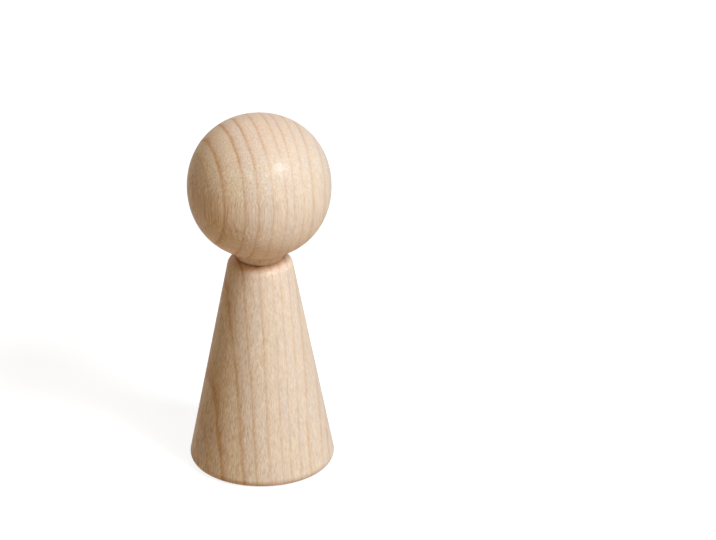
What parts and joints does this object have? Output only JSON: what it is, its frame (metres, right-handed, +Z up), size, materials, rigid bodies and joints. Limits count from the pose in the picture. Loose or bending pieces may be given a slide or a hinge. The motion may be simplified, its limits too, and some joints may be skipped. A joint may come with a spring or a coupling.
{
  "type": "peg doll",
  "caption": "Plain turned wooden peg doll: a ball head on a short neck, doweled to a cone body with a rounded shoulder and a flat base.",
  "frame": {"origin": "centre of the flat base that the doll stands on", "axes": "+Z up along the turning axis from the base to the head; -Y towards the camera of the picture, +X to its right"},
  "size_m": [0.025, 0.025, 0.065],
  "materials": {
    "head_wood": "satin",
    "body_wood": "satin",
    "dowel_wood": "matte"
  },
  "bodies": {
    "root": {"ball_head": "head_wood", "cone_body": "body_wood", "neck_dowel": "dowel_wood"}
  },
  "joints": []
}
